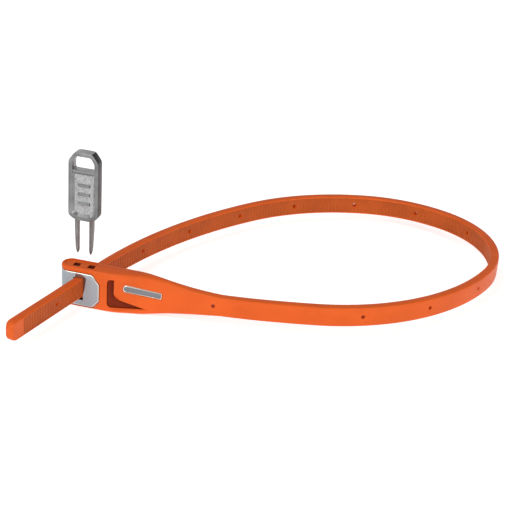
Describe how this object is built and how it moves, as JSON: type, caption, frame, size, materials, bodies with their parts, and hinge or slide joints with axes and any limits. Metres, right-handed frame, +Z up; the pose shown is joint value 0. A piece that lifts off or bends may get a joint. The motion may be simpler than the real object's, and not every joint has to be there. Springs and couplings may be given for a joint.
{
  "type": "reusable locking cable tie with key",
  "caption": "Reusable steel-cored security strap: a toothed band closed in a loop through its own sprung lock head, with a two-pronged release key.",
  "frame": {"origin": "on the lock head's underside, below the middle of the slot that the band passes through", "axes": "+X along the head from the lock towards the neck, +Y from the head's plated front face into the loop, +Z up, across the band's width"},
  "size_m": [0.1429, 0.1499, 0.0554],
  "materials": {
    "orange_nylon": "moulded nylon, satin, slightly glossy on edges",
    "bright_steel": "polished",
    "dull_steel": "machined",
    "cast_key": "satin die cast, sandy in the recess"
  },
  "bodies": {
    "strap": {"strap_moulding": "orange_nylon", "strap_core": "bright_steel", "face_plate": "bright_steel", "lock_body": "dull_steel", "body_base": "dull_steel", "core_rivet_upper": "dull_steel", "core_rivet_lower": "dull_steel", "ratchet_spring": "bright_steel", "pressure_spring": "bright_steel"},
    "ratchet_pawl": {"ratchet_pawl": "dull_steel"},
    "pressure_pawl": {"pressure_pawl": "dull_steel"},
    "key": {"key": "cast_key"}
  },
  "joints": [
    {"name": "key_insert", "type": "slide", "parent": "strap", "child": "key", "axis": [0, 0, -1], "range_m": [0, 0.0162]},
    {"name": "ratchet_release", "type": "slide", "parent": "strap", "child": "ratchet_pawl", "axis": [1, 0, 0], "range_m": [0, 0.0009], "deforming": ["ratchet_spring"]},
    {"name": "pressure_release", "type": "slide", "parent": "strap", "child": "pressure_pawl", "axis": [-1, 0, 0], "range_m": [0, 0.0009], "deforming": ["pressure_spring"]}
  ],
  "couplings": [
    {"joint": "ratchet_release", "follows": "key_insert", "ratio": 0.0555},
    {"joint": "pressure_release", "follows": "key_insert", "ratio": 0.0555}
  ]
}
